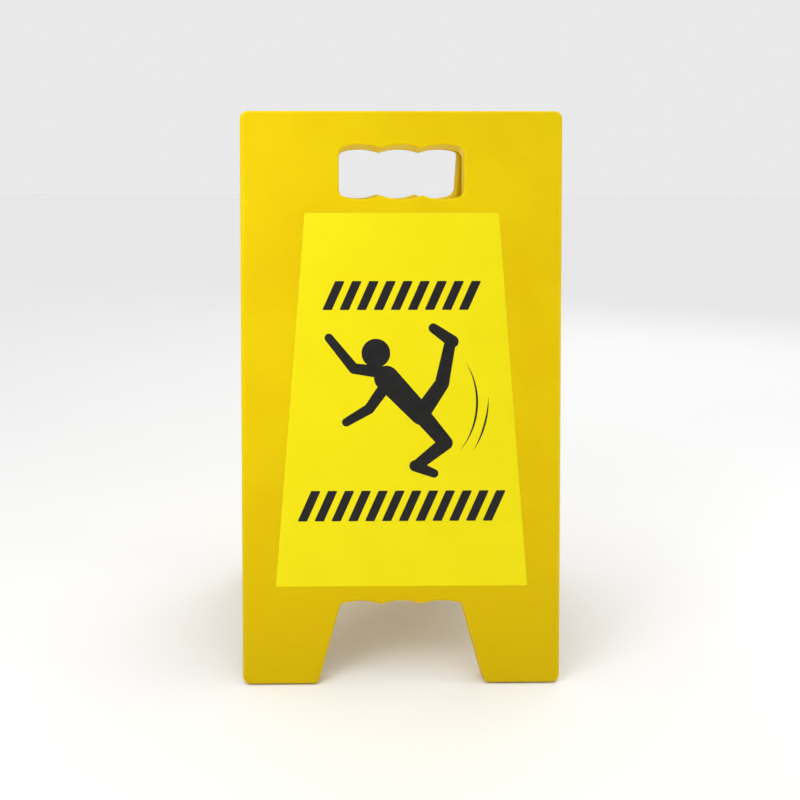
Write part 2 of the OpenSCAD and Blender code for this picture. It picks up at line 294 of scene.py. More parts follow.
def mirrored(points):
    """The points on the other side of the middle, in reverse order."""
    return [Vector((-p.x, p.y)) for p in reversed(points)]


def inset(loop, distance):
    """The outline moved towards the material on its left, by one distance or by one a point."""
    distances = distance if isinstance(distance, list) else [distance] * len(loop)
    moved = []
    neighbours = zip(loop[-1:] + loop[:-1], loop, loop[1:] + loop[:1], distances)
    for before, here, after, distance in neighbours:
        first, second = (here - before).normalized(), (after - here).normalized()
        left = Vector((-first.y - second.y, first.x + second.x)).normalized()
        across = left.dot(Vector((-first.y, first.x)))
        moved.append(here + left * distance / max(across, 0.4))
    return moved


def scalloped(side, tilt, crest, depth, radius):
    """Three scallops from the right side of an opening over to its left side."""
    half = SCALLOP_PITCH / 2
    big = (half ** 2 + depth ** 2) / (2 * depth)
    hub = Vector((SCALLOP_PITCH, crest - big))
    down = Vector((math.sin(tilt), -math.cos(tilt)))
    start = Vector(side) - radius * Vector((math.cos(tilt), math.sin(tilt))) - hub
    along = start.dot(down)
    room = along ** 2 - start.length_squared + (big - radius) ** 2
    corner = hub + start - down * (along + math.sqrt(room))
    tangent = math.atan2(corner.y - hub.y, corner.x - hub.x)
    cusp = Vector((half, hub.y + math.sqrt((big + CUSP_R) ** 2 - half ** 2)))
    lean = math.acos(half / (big + CUSP_R))
    right = (
        arc(corner, radius, tilt, tangent, 12)
        + arc(hub, big, tangent, math.pi - lean, 16)
        + arc(cusp, CUSP_R, -lean, lean - math.pi, 8)
    )
    middle = arc((0, hub.y), big, lean, math.pi - lean, 22)
    return right + middle + mirrored(right)


def handle_loop():
    """The hand hole, scalloped along its top and its bottom."""
    side, crest = (HANDLE_W / 2, 0), HANDLE_H / 2
    top = scalloped(side, 0, crest, HANDLE_TOP_SCALLOP, HANDLE_R)
    bottom = scalloped(side, 0, crest, HANDLE_BOTTOM_SCALLOP, HANDLE_R)
    loop = top + [-p for p in bottom]
    return hole([p + Vector((0, HANDLE_Z)) for p in loop])


def leaf_loop():
    """The leaf's outline with its foot gap, starting at the right outer foot corner."""
    half, quarter = PANEL_W / 2, math.pi / 2
    top_x, foot_x = half - TOP_CORNER_R, half - FOOT_CORNER_R
    inner_x = GAP_BOTTOM_W / 2 + FOOT_INNER_R / math.tan(quarter / 2 + GAP_TILT / 2)
    inner_foot = Vector((inner_x, LEAF_FOOT + FOOT_INNER_R))
    outer_right = (
        arc((foot_x, LEAF_FOOT + FOOT_CORNER_R), FOOT_CORNER_R, -quarter, 0, 12)
        + arc((top_x, LEAF_TOP - TOP_CORNER_R), TOP_CORNER_R, 0, quarter, 10)
        + [Vector((top_x, LEAF_TOP))]
    )
    foot_right = (
        arc(inner_foot, FOOT_INNER_R, math.pi + GAP_TILT, math.pi + quarter, 8)
        + [Vector((inner_x, LEAF_FOOT))]
    )
    side = (GAP_TOP_W / 2, GAP_CREST_Z - GAP_SCALLOP)
    gap = scalloped(side, GAP_TILT, GAP_CREST_Z, GAP_SCALLOP, GAP_R)
    return outer_right + mirrored(outer_right) + mirrored(foot_right) + gap[::-1] + foot_right


def label_loop(grow):
    """The label's tapered outline."""
    top, foot = LABEL_TOP_W / 2, LABEL_FOOT_W / 2
    corners = [Vector(p) for p in (
        (-foot, LABEL_FOOT_Z), (foot, LABEL_FOOT_Z), (top, LABEL_TOP_Z), (-top, LABEL_TOP_Z))]
    return rounded(inset(corners, -grow), LABEL_CORNER_R)


def rounded(corners, radius, steps=6):
    """A convex outline with its corners rounded."""
    loop = []
    for before, here, after in zip(corners[-1:] + corners[:-1], corners, corners[1:] + corners[:1]):
        into, out = (before - here).normalized(), (after - here).normalized()
        half = into.angle(out) / 2
        centre = here + (into + out).normalized() * radius / math.sin(half)
        a = here + into * radius / math.tan(half) - centre
        b = here + out * radius / math.tan(half) - centre
        start = math.atan2(a.y, a.x)
        turn = (math.atan2(b.y, b.x) - start + math.pi) % math.tau - math.pi
        loop += arc(centre, radius, start, start + turn, steps)
        loop.append(centre + b)
    return loop


def box_loop(centre, half_w, half_h, radius):
    """A rectangle with rounded corners."""
    corners = ((-half_w, -half_h), (half_w, -half_h), (half_w, half_h), (-half_w, half_h))
    return rounded([Vector(centre) + Vector(p) for p in corners], radius)


def capsule(a, b, radius_a, radius_b=None):
    """A bar between two points with a round end at each."""
    a, b = Vector(a), Vector(b)
    radius_b = radius_b or radius_a
    along = math.atan2(b.y - a.y, b.x - a.x)
    flare = math.acos((radius_a - radius_b) / (b - a).length)
    far = arc(b, radius_b, along - flare, along + flare, 14)
    near = arc(a, radius_a, along + flare, along - flare + math.tau, 14)
    ends = [b + radius_b * Vector((math.cos(along + flare), math.sin(along + flare)))]
    ends_near = [a + radius_a * Vector((math.cos(along - flare), math.sin(along - flare)))]
    return far + ends + near + ends_near


# ---------------------------------------------------------------- solids

def bridge(bm, rings):
    """Quads between each ring and the next."""
    for lower, upper in zip(rings, rings[1:]):
        for k in range(len(lower)):
            after = (k + 1) % len(lower)
            bm.faces.new((lower[k], lower[after], upper[after], upper[k]))


def fill(bm, rings):
    """One flat cap between an outer ring and the rings of its holes."""
    if len(rings) == 1:
        bm.faces.new(rings[0])
        return
    edges = [bm.edges.get((a, b)) or bm.edges.new((a, b))
             for ring in rings for a, b in zip(ring, ring[1:] + ring[:1])]
    bmesh.ops.triangle_fill(bm, use_beauty=True, use_dissolve=False, edges=edges)


def round_edge(radius, steps=3):
    """(inset, depth) pairs round an edge, from the face to the side."""
    turns = [math.pi / 2 * k / steps for k in range(steps + 1)]
    return [(radius * (1 - math.sin(a)), radius * (1 - math.cos(a))) for a in turns]


AXES = {
    "x": lambda p, h: (h, p.x, p.y),
    "y": lambda p, h: (p.x, h, p.y),
    "z": lambda p, h: (p.x, p.y, h),
}


def extrusion(bm, loops, axis, low, high, edge=0.0, steps=3):
    """A plate with rounded edges: an outline and its holes, drawn along an axis."""
    place = AXES[axis]
    start = [(d, low + h) for d, h in round_edge(edge, steps)] if edge else [(0, low)]
    end = [(d, high - h) for d, h in reversed(round_edge(edge, steps))] if edge else [(0, high)]
    caps = [[], []]
    for loop in loops:
        rings = [[bm.verts.new(place(p, h)) for p in inset(loop, d)] for d, h in start + end]
        bridge(bm, rings)
        caps[0].append(rings[0])
        caps[1].append(rings[-1])
    for cap in caps:
        fill(bm, cap)


def lathe(bm, profile, steps=48, closed=False, centre=(0, 0)):
    """Turns (x, radius) pairs round an axis along X through centre; radius 0 ends in a point."""
    rings = []
    for x, radius in profile:
        if radius == 0:
            rings.append([bm.verts.new((x, *centre))])
            continue
        rings.append([
            bm.verts.new((x, centre[0] + p.x, centre[1] + p.y))
            for p in circle((0, 0), radius, steps)
        ])
    pairs = list(zip(rings, rings[1:])) + ([(rings[-1], rings[0])] if closed else [])
    for lower, upper in pairs:
        for k in range(steps):
            after = (k + 1) % steps
            corners = [lower[k % len(lower)], lower[after % len(lower)],
                       upper[after % len(upper)], upper[k % len(upper)]]
            bm.faces.new(list(dict.fromkeys(corners)))


def domed(x, radius, thickness, steps=5):
    """(x, radius) pairs of a domed head: its rim, then up over the dome to its middle."""
    rim = thickness * HEAD_RIM
    rise = thickness - rim
    turns = [math.pi / 2 * k / steps for k in range(steps + 1)]
    return [(x, radius - HEAD_EDGE), (x + HEAD_EDGE, radius)] + [
        (x + rim + rise * math.sin(a), radius * math.cos(a) if k < steps else 0)
        for k, a in enumerate(turns)
    ]


def headed_pin(inner, outer, radius, head_r, head_t):
    """(x, radius) pairs of a pin with a domed head beyond each of its ends."""
    heads = facing_in(domed(inner, head_r, head_t), inner), domed(outer, head_r, head_t)
    return heads[0] + [(inner, radius), (outer, radius)] + heads[1]


def facing_in(profile, x):
    """The profile turned round to face the middle of the sign, about x."""
    return [(2 * x - along, radius) for along, radius in reversed(profile)]


def shell_profile(lip):
    """(inset, depth) pairs: round the lip, down the side, over the rim and into the cavity."""
    tip = 0.3 * EDGE_R
    stations = [OUTER_Y + lip + (PANEL_DEPTH - lip - EDGE_R) * k / 4 for k in range(1, 5)]
    outside = [(d, OUTER_Y + h) for d, h in round_edge(lip, 8)] + [(0, y) for y in stations]
    rim = [
        (tip, INNER_Y - tip), (EDGE_R, INNER_Y), (WALL - EDGE_R, INNER_Y),
        (WALL - tip, INNER_Y - tip), (WALL, INNER_Y - EDGE_R),
    ]
    fillet = [(WALL + h, SKIN_Y + d) for d, h in round_edge(CAVITY_FILLET, 4)]
    return outside + rim + fillet


def floor_z(y, inset_by):
    """Height up the leaf of the level foot at a depth, raised by the inset."""
    level = FOOT_LEVEL - HINGE_HEIGHT + inset_by
    return (level + y * math.sin(LEAN)) / math.cos(LEAN)


def leaf_rings(bm, loop, lips):
    """The rings of one edge of the leaf, a lip radius a point, with the foot kept level."""
    rings = []
    for station in zip(*(shell_profile(lip) for lip in lips)):
        moved = inset(loop, [d for d, y in station])
        rings.append([
            bm.verts.new((p.x, y, max(p.y, floor_z(y, d)))) for p, (d, y) in zip(moved, station)
        ])
    bridge(bm, rings)
    return rings


def side_lip(p):
    """The lip's radius at a point of the outline: wider along the long sides."""
    from_side = PANEL_W / 2 - abs(p.x)
    return LIP_R + (SIDE_LIP_R - LIP_R) * max(0, 1 - from_side / TOP_CORNER_R)


def leaf_shell(bm):
    """The bare moulding: skin, rims, hand hole and the recess for the label."""
    outline, hand_hole = leaf_loop(), handle_loop()
    outer = leaf_rings(bm, outline, [side_lip(p) for p in outline])
    handle = leaf_rings(bm, hand_hole, [HOLE_LIP_R] * len(hand_hole))
    recess = [
        [bm.verts.new((p.x, OUTER_Y + depth, p.y)) for p in hole(label_loop(grow))]
        for grow, depth in (*RECESS_EDGE, (0, RECESS))
    ]
    bridge(bm, recess)
    fill(bm, [outer[0], handle[0], recess[0]])
    fill(bm, recess[-1:])
    fill(bm, [outer[-1], handle[-1]])


def rib_bars():
    """Each stiffening rib, drafted towards its top and rooted in the skin."""
    root, top = SKIN_Y - ROOT_SINK, SKIN_Y + RIB_H
    half, tip = RIB_T / 2, RIB_TOP_T / 2
    section = [Vector(p) for p in (
        (-half, root), (half, root), (tip, top - RIB_EDGE), (tip - RIB_EDGE, top),
        (RIB_EDGE - tip, top), (-tip, top - RIB_EDGE))]
    reach = PANEL_W / 2 - WALL + ROOT_SINK
    for k in range(1, RIB_ROWS + 1):
        bm = bmesh.new()
        level = [Vector((p.y, -k * RIB_PITCH_Z - p.x)) for p in section]
        extrusion(bm, [level], "x", -reach, reach)
        yield bm
    for k in range(-2, 3):
        bm = bmesh.new()
        upright = [Vector((k * RIB_PITCH_X + p.x, p.y)) for p in section]
        extrusion(bm, [upright], "z", -RIB_ROWS * RIB_PITCH_Z, -RIB_PITCH_Z)
        yield bm


def carrier(x, thickness, radius, z):
    """A block rising from the skin to a round end: a hinge knuckle or a stay's lug."""
    bm = bmesh.new()
    root = SKIN_Y - WALL / 2
    loop = arc((0, z), radius, -math.pi / 2, math.pi / 2, 20)
    loop += [Vector((0, z + radius)), Vector((root, z + radius)), Vector((root, z - radius))]
    extrusion(bm, [loop], "x", x, x + thickness, EDGE_R)
    return bm


def bar(x0, x1, radius, y=0.0, z=0.0):
    """A round bar along X."""
    bm = bmesh.new()
    lathe(bm, [(x0, 0), (x0, radius), (x1, radius), (x1, 0)], 40, centre=(y, z))
    return bm


def post(x, z, radius, y0, y1, edge=0.0):
    """A round post along Y."""
    bm = bmesh.new()
    extrusion(bm, [circle((x, z), radius)], "y", y0, y1, edge)
    return bm


# ---------------------------------------------------------------- making pieces

def leaf_place(rear):
    """From a leaf's own frame in millimetres to the standing frame in metres."""
    front = Matrix.Translation((0, 0, HINGE_HEIGHT)) @ Matrix.Rotation(-LEAN, 4, "X")
    mirror = Matrix.Scale(-1, 4, (0, 1, 0)) if rear else Matrix.Identity(4)
    return Matrix.Scale(M_PER_MM, 4) @ mirror @ front


def side_place(side):
    """Drawn for the right side; mirrored for the left."""
    return Matrix.Identity(4) if side > 0 else Matrix.Scale(-1, 4, (1, 0, 0))


def make_object(name, bm):
    bmesh.ops.recalc_face_normals(bm, faces=bm.faces)
    mesh = bpy.data.meshes.new(name)
    bm.to_mesh(mesh)
    bm.free()
    made = bpy.data.objects.new(name, mesh)
    bpy.context.scene.collection.objects.link(made)
    return made


def combine(piece, operation, solids):
    """Joins the solids to the piece, or cuts them out of it, as one closed mesh."""
    group = bpy.data.collections.new("tools")
    tools = [make_object("tool", bm) for bm in solids]
    for tool in tools:
        group.objects.link(tool)
    modifier = piece.modifiers.new("combine", "BOOLEAN")
    modifier.operation = operation
    modifier.operand_type = "COLLECTION"
    modifier.collection = group
    modifier.solver = "EXACT"
    graph = bpy.context.evaluated_depsgraph_get()
    result = bpy.data.meshes.new_from_object(piece.evaluated_get(graph))
    piece.modifiers.clear()
    piece.data = result
    for tool in tools:
        bpy.data.objects.remove(tool)
    bpy.data.collections.remove(group)


def finish_piece(made, place, body, material, nodes=()):
    """Puts a drawn piece in the standing frame, shades it and hangs it on its body."""
    mesh = made.data
    mesh.transform(place)
    if place.determinant() < 0:
        mesh.flip_normals()
    mesh.materials.clear()
    mesh.materials.append(material)
    mesh.polygons.foreach_set("use_smooth", [True] * len(mesh.polygons))
    mesh.set_sharp_from_angle(angle=SHARP_ANGLE)
    weighted = made.modifiers.new("weighted_normal", "WEIGHTED_NORMAL")
    weighted.keep_sharp = True
    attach(made, body)
    if nodes:
        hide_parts(*nodes)
    return made


# ---------------------------------------------------------------- materials

class Shader:
    """A material's node tree with a principled surface, and short ways to add to it."""

    def __init__(self, name, **values):
        self.material = bpy.data.materials.new(name)
        self.material.use_nodes = True
        self.tree = self.material.node_tree
        self.surface = self.tree.nodes["Principled BSDF"]
        self.place = self.node("ShaderNodeTexCoord").outputs["Object"]
        for key, value in values.items():
            self.surface.inputs[key.replace("_", " ")].default_value = value

    def node(self, kind, **links):
        made = self.tree.nodes.new(kind)
        for key, value in links.items():
            socket = made.inputs[key.replace("_", " ")]
            if isinstance(value, bpy.types.NodeSocket):
                self.tree.links.new(value, socket)
            else:
                socket.default_value = value
        return made

    def noise(self, size, detail=2.0, stretch=(1, 1, 1)):
        """Noise whose features are about size metres across."""
        mapped = self.node("ShaderNodeMapping", Vector=self.place, Scale=stretch)
        coordinates = mapped.outputs[0]
        made = self.node("ShaderNodeTexNoise", Vector=coordinates, Scale=1 / size, Detail=detail)
        return made.outputs["Fac"]

    def ramp(self, factor, low, high, start=0.35, end=0.65):
        """Low to high as the factor goes from start to end."""
        made = self.node("ShaderNodeMapRange", Value=factor)
        made.inputs["From Min"].default_value = start
        made.inputs["From Max"].default_value = end
        made.inputs["To Min"].default_value = low
        made.inputs["To Max"].default_value = high
        return made.outputs[0]

    def mix(self, factor, a, b):
        """A blend of two colours."""
        made = self.node("ShaderNodeMix")
        made.data_type = "RGBA"
        for socket, value in ((made.inputs[0], factor), (made.inputs[6], a), (made.inputs[7], b)):
            if isinstance(value, bpy.types.NodeSocket):
                self.tree.links.new(value, socket)
            else:
                socket.default_value = value if isinstance(value, float) else (*value, 1)
        return made.outputs[2]

    def bump(self, height, depth, previous=None):
        """Relief of depth metres."""
        made = self.node("ShaderNodeBump", Height=height, Distance=depth, Strength=1.0)
        if previous:
            self.tree.links.new(previous, made.inputs["Normal"])
        return made.outputs[0]

    def clouded(self, size, detail, low, high):
        """A base colour that drifts between two colours over about size metres."""
        self.set("Base Color", self.mix(self.ramp(self.noise(size, detail), 0.0, 1.0), low, high))

    def set(self, key, socket):
        """Drives one of the surface's inputs."""
        self.tree.links.new(socket, self.surface.inputs[key])


def leaf_plastic():
    """Semi-gloss moulded polypropylene, paler along its convex edges as rubbing wear and as a
    painted edge highlight, and darker near the floor as painted shade.
    """
    s = Shader(
        "leaf_plastic", Specular_IOR_Level=0.15, Specular_Tint=(1, 0.8, 0.2, 1),
        Subsurface_Weight=0.3, Subsurface_Radius=(1, 0.7, 0.05), Subsurface_Scale=0.004,
    )
    cloud = s.ramp(s.noise(0.09, 3), 0.0, 1.0)
    body = s.mix(cloud, (0.865, 0.612, 0.003), (0.905, 0.664, 0.004))
    # Paler convex edges from Pointiness: partly rubbing wear, partly a painted edge highlight
    edge_wear_and_highlight = s.node("ShaderNodeNewGeometry").outputs["Pointiness"]
    patchy = s.node("ShaderNodeMath", Value=s.ramp(edge_wear_and_highlight, 0.0, 0.3, 0.55, 0.66))
    patchy.operation = "MULTIPLY"
    s.tree.links.new(s.ramp(s.noise(0.02, 4), 0.4, 1.0), patchy.inputs[1])
    body_with_wear_and_highlight = s.mix(patchy.outputs[0], body, (0.95, 0.74, 0.06))
    height = s.node("ShaderNodeSeparateXYZ", Vector=s.place).outputs["Z"]
    # Painted shade: the base colour darkens towards the floor below this height
    painted_floor_shade = s.ramp(height, 1.0, 0.0, 0.0, PAINTED_SHADE_BELOW)
    s.set("Base Color", s.mix(painted_floor_shade, body_with_wear_and_highlight, (0.725, 0.508, 0.003)))
    s.set("Roughness", s.ramp(s.noise(0.03, 5, (1, 1, 0.2)), 0.42, 0.56))
    grain = s.bump(s.noise(0.0007, 2), 0.00003)
    s.set("Normal", s.bump(s.noise(0.035, 1), 0.0003, grain))
    return s.material


def label_film():
    """Satin yellow vinyl with a faint peel from the roller that laid it."""
    s = Shader("label_film", Specular_IOR_Level=0.22, Specular_Tint=(1, 0.9, 0.3, 1))
    s.clouded(0.05, 2, (0.985, 0.835, 0.008), (1.0, 0.862, 0.010))
    s.set("Roughness", s.ramp(s.noise(0.012, 4), 0.34, 0.44))
    s.set("Normal", s.bump(s.noise(0.004, 2, (1, 1, 0.4)), 0.00002))
    return s.material


def print_ink():
    """Satin black screen ink, very slightly uneven."""
    s = Shader("print_ink", Specular_IOR_Level=0.35)
    s.clouded(0.008, 4, (0.009, 0.009, 0.009), (0.014, 0.013, 0.012))
    s.set("Roughness", s.ramp(s.noise(0.004, 3), 0.38, 0.5))
    s.set("Normal", s.bump(s.noise(0.0006, 2), 0.00001))
    return s.material


def metal(name, dark, light, smooth, rough):
    """Steel with a satin plating, slightly clouded."""
    s = Shader(name, Metallic=1.0)
    s.clouded(0.006, 4, dark, light)
    s.set("Roughness", s.ramp(s.noise(0.008, 4), smooth, rough))
    s.set("Normal", s.bump(s.noise(0.0008, 2), 0.000004))
    return s.material


def nylon():
    """Natural nylon, slightly translucent."""
    s = Shader("nylon", Subsurface_Weight=0.15, Subsurface_Scale=0.002)
    s.clouded(0.004, 2, (0.70, 0.68, 0.60), (0.78, 0.76, 0.69))
    s.set("Roughness", s.ramp(s.noise(0.002, 3), 0.4, 0.55))
    s.set("Normal", s.bump(s.noise(0.0005), 0.00001))
    return s.material


def rubber():
    """Matt black rubber."""
    s = Shader("rubber", Specular_IOR_Level=0.3)
    s.clouded(0.005, 4, (0.012, 0.012, 0.012), (0.028, 0.027, 0.026))
    s.set("Roughness", s.ramp(s.noise(0.003, 3), 0.7, 0.9))
    s.set("Normal", s.bump(s.noise(0.0004, 3), 0.00004))
    return s.material


def studio_floor():
    """Plain pale paint."""
    s = Shader("studio_floor", Specular_IOR_Level=0.0)
    s.clouded(0.4, 3, (0.875, 0.875, 0.875), (0.885, 0.885, 0.885))
    s.set("Roughness", s.ramp(s.noise(0.1, 3), 0.55, 0.7))
    return s.material


PLASTIC = leaf_plastic()
FILM = label_film()
INK = print_ink()
ZINC = metal("plated_steel", (0.60, 0.61, 0.63), (0.70, 0.70, 0.69), 0.26, 0.36)
SPRING = metal("spring_steel", (0.10, 0.10, 0.11), (0.17, 0.17, 0.18), 0.3, 0.45)
NYLON = nylon()
RUBBER = rubber()


# ---------------------------------------------------------------- the sign's pieces

def make_leaf(rear):
    """One leaf with its ribs, knuckles and whatever its stay hardware fastens to."""
    word = "rear" if rear else "front"
    bm = bmesh.new()
    leaf_shell(bm)
    leaf = make_object(f"{word}_panel_moulding", bm)
    added, cut = list(rib_bars()), []
    knuckles = [1] if rear else [0, 2]
    for side in (-1, 1):
        sided = []
        for k in knuckles:
            sided.append(carrier(HINGE_X + k * KNUCKLE_STEP, KNUCKLE_L, KNUCKLE_R, 0))
        holes = [bar(HINGE_X - OVERRUN, HINGE_END + OVERRUN, PIN_R + BORE_CLEAR)]
        if rear:
            sided.append(carrier(LUG_X, LUG_T, LUG_R, -PIVOT_DROP))
            ends = LUG_X - OVERRUN, LUG_X + LUG_T + OVERRUN
            holes.append(bar(*ends, RIVET_R + BORE_CLEAR, z=-PIVOT_DROP))
        else:
            for z in SCREW_ROWS:
                sided.append(post(SCREW_X, z, BOSS_R, SKIN_Y - WALL / 2, FLANGE_Y, BOSS_EDGE_R))
                depths = FLANGE_Y - SCREW_L, FLANGE_Y + OVERRUN
                holes.append(post(SCREW_X, z, SCREW_R + BORE_CLEAR, *depths))
        for solid in sided + holes:
            bmesh.ops.transform(solid, matrix=side_place(side), verts=solid.verts)
        added += sided
        cut += holes
        cut.append(pad_pocket(side))
    combine(leaf, "UNION", added)
    combine(leaf, "DIFFERENCE", cut)
    finish_piece(leaf, leaf_place(rear), word, PLASTIC, [f"{word}_panel"])


def pad_solid(side, grow, edge, level=0.0):
    """A foot pad in the standing frame, millimetres."""
    bm = bmesh.new()
    loop = box_loop((side * PAD_X, PAD_Y), PAD_L / 2 + grow, PAD_W / 2 + grow, PAD_R + grow)
    extrusion(bm, [loop], "z", level, PAD_T, edge)
    return bm


def pad_pocket(side):
    """The space a foot pad sits in, seen from the front leaf's own frame."""
    bm = pad_solid(side, BORE_CLEAR, 0, -POCKET_DEPTH)
    to_leaf = (Matrix.Translation((0, 0, HINGE_HEIGHT)) @ Matrix.Rotation(-LEAN, 4, "X")).inverted()
    bmesh.ops.transform(bm, matrix=to_leaf, verts=bm.verts)
    return bm


def make_label(rear):
    """The film stuck in the leaf's recess."""
    word = "rear" if rear else "front"
    bm = bmesh.new()
    extrusion(bm, [label_loop(-LABEL_GAP)], "y", LABEL_Y, LABEL_Y + LABEL_T, LABEL_EDGE_R)
    film = make_object(f"{word}_label_film", bm)
    finish_piece(film, leaf_place(rear), word, FILM, [f"{word}_label"])


def slanted_bars(half_width, top, foot, count):
    """A row of slanted black bars between two heights."""
    pitch = 2 * half_width / count
    bar_w, slant = pitch * BAR_FILL, (top - foot) * BAR_SLANT
    for k in range(count):
        x = -half_width + (k + 0.5) * pitch
        corners = [Vector(p) for p in (
            (x - bar_w / 2 - slant / 2, foot), (x + bar_w / 2 - slant / 2, foot),
            (x + bar_w / 2 + slant / 2, top), (x - bar_w / 2 + slant / 2, top))]
        yield rounded(corners, BAR_CORNER_R, 3)


def crescent(centre, radius, start, end, thickness, steps=24):
    """A thin arc that tapers to both ends."""
    middle = (start + end) / 2
    shift = Vector(centre) - Vector((math.cos(middle), math.sin(middle))) * thickness
    outer = arc(centre, radius, start, end, steps)
    tip = Vector(centre) + radius * Vector((math.cos(end), math.sin(end)))
    inner = [p - (p - shift).normalized() * thickness * math.sin(math.pi * k / steps)
             for k, p in enumerate(outer)][1:]
    return outer + [tip] + inner[::-1]


def slipping_figure():
    """A plain faceless figure that has lost its footing, as a round head and round-ended bars."""
    origin = Vector((0, FIGURE_Z))
    place = {name: origin + Vector(p) for name, p in FIGURE_JOINTS.items()}
    limbs = [capsule(place[a], place[b], *radii) for a, b, *radii in FIGURE_LIMBS]
    return [circle(origin + Vector(HEAD), HEAD_R, 48)] + limbs


def make_print(rear):
    """The printed rows of bars and the figure between them, the same way round on both sides."""
    word = "rear" if rear else "front"
    turned = mirrored if rear else list
    low, high = LABEL_Y - INK_T, LABEL_Y + LABEL_T / 4
    loops = []
    for half_width, top, foot, count in BAR_ROWS:
        loops += slanted_bars(half_width, LEAF_TOP - top, LEAF_TOP - foot, count)
    loops += [crescent(ARC_CENTRE, *values) for values in MOTION_ARCS]
    bm = bmesh.new()
    for loop in loops:
        extrusion(bm, [turned(loop)], "y", low, high)
    ink = make_object(f"{word}_print", bm)
    figure = []
    for loop in slipping_figure():
        limb = bmesh.new()
        extrusion(limb, [turned(loop)], "y", low, high)
        figure.append(limb)
    combine(ink, "UNION", figure)
    finish_piece(ink, leaf_place(rear), word, INK)


def sided_piece(node, side, bm, place, body, material):
    """A small piece drawn for the right side, made on its own side."""
    name = f"{node}_{'right' if side > 0 else 'left'}"
    made = bm if isinstance(bm, bpy.types.Object) else make_object(f"{name}_part", bm)
    made.name = f"{name}_part"
    finish_piece(made, place @ side_place(side), body, material, [name])


def make_hinge(side):
    """A headed pin through the knuckles, and the push-on ring that keeps it in."""
    bm = bmesh.new()
    tail = HINGE_END + RETAINER_T + PIN_TAIL
    head = facing_in(domed(HINGE_X, PIN_HEAD_R, PIN_HEAD_T), HINGE_X)
    shank = [(HINGE_X, PIN_R), (tail - PIN_CHAMFER, PIN_R), (tail, PIN_R - PIN_CHAMFER), (tail, 0)]
    lathe(bm, head + shank)
    sided_piece("hinge_pin", side, bm, leaf_place(False), "front", ZINC)
    bm = bmesh.new()
    lathe(bm, [(HINGE_END + x, radius) for x, radius in RETAINER_SECTION], closed=True)
    sided_piece("hinge_retainer", side, bm, leaf_place(False), "front", SPRING)


def stay_place():
    """From the stay's own frame, its pivot at the origin, to the standing frame."""
    return (leaf_place(True) @ Matrix.Translation((0, 0, -PIVOT_DROP))
            @ Matrix.Rotation(OPEN_ANGLE + OPEN_REACH, 4, "X"))


def make_stay(side):
    """A flat strip with a pressed groove along each face, and the slider pin in its end."""
    body = "right_stay" if side > 0 else "left_stay"
    half = STAY_W / 2
    loop = arc((0, 0), half, 0, math.pi, 24) + [Vector((-half, 0))]
    loop += arc((0, -STAY_L), half, math.pi, math.tau, 24) + [Vector((half, -STAY_L))]
    holes = [hole(circle((0, z), radius + BORE_CLEAR))
             for z, radius in ((0, RIVET_R), (-STAY_L, SLIDER_R))]
    bm = bmesh.new()
    extrusion(bm, [loop] + holes, "x", STAY_X, STAY_X + STAY_T, STAY_EDGE_R)
    strip = make_object("strip", bm)
    section = list(GROOVE_END) + [(GROOVE_L - x, radius) for x, radius in reversed(GROOVE_END)]
    along = Matrix.Diagonal((GROOVE_FLATNESS, 1, 1, 1)) @ Matrix.Rotation(math.pi / 2, 4, "Y")
    grooves = []
    for x in (STAY_X, STAY_X + STAY_T):
        groove = bmesh.new()
        lathe(groove, section, 24)
        place = Matrix.Translation((x, 0, -GROOVE_DROP)) @ along
        bmesh.ops.transform(groove, matrix=place, verts=groove.verts)
        grooves.append(groove)
    combine(strip, "DIFFERENCE", grooves)
    sided_piece("stay", side, strip, stay_place(), body, ZINC)
    pin = bmesh.new()
    ends = TRACK_X - SLIDER_PLAY, STAY_X + STAY_T
    lathe(pin, headed_pin(*ends, SLIDER_R, SLIDER_HEAD_R, SLIDER_HEAD_T), centre=(0, -STAY_L))
    sided_piece("slider_pin", side, pin, stay_place(), body, ZINC)


def make_pivot(side):
    """The rivet that the stay swings on, and the washer between the stay and its lug."""
    place = leaf_place(True) @ Matrix.Translation((0, 0, -PIVOT_DROP))
    bm = bmesh.new()
    ends = STAY_X - RIVET_PLAY, LUG_X + LUG_T
    lathe(bm, headed_pin(*ends, RIVET_R, RIVET_HEAD_R, RIVET_HEAD_T))
    sided_piece("stay_rivet", side, bm, place, "rear", ZINC)
    bm = bmesh.new()
    low, high, edge = LUG_X - WASHER_T, LUG_X, WASHER_EDGE
    bore, rim = RIVET_R + BORE_CLEAR, WASHER_R
    lathe(bm, [
        (low, bore + edge), (low, rim - edge), (low + edge, rim), (high - edge, rim),
        (high, rim - edge), (high, bore + edge), (high - edge, bore), (low + edge, bore),
    ], closed=True)
    sided_piece("stay_washer", side, bm, place, "rear", NYLON)


